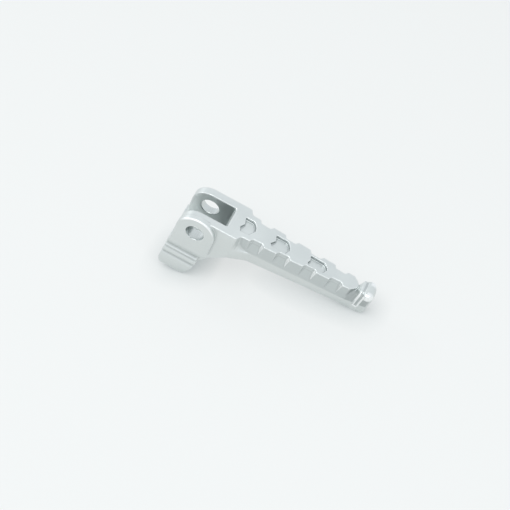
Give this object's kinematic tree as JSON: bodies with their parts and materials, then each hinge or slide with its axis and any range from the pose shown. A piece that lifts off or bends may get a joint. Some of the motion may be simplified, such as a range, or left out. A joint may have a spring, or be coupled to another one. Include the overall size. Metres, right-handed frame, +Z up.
{
  "type": "folding foot peg",
  "caption": "Cast aluminium folding rider foot peg: forked hinge end with a raised boss, ribbed stop heel, pocketed and notched tapering tread, upturned tip.",
  "frame": {"origin": "on the pivot axis, midway between the two fork ears; the casting is pitched 18.2 degrees nose down about that axis, as it lies on a level table", "axes": "+Y along the pivot axis, away from the raised boss; +Z up; +X from the pivot towards the tip"},
  "size_m": [0.119, 0.0273, 0.0479],
  "materials": {
    "cast_aluminium": "satin, as cast and tumbled"
  },
  "bodies": {
    "root": {"peg_casting": "cast_aluminium"}
  },
  "joints": []
}
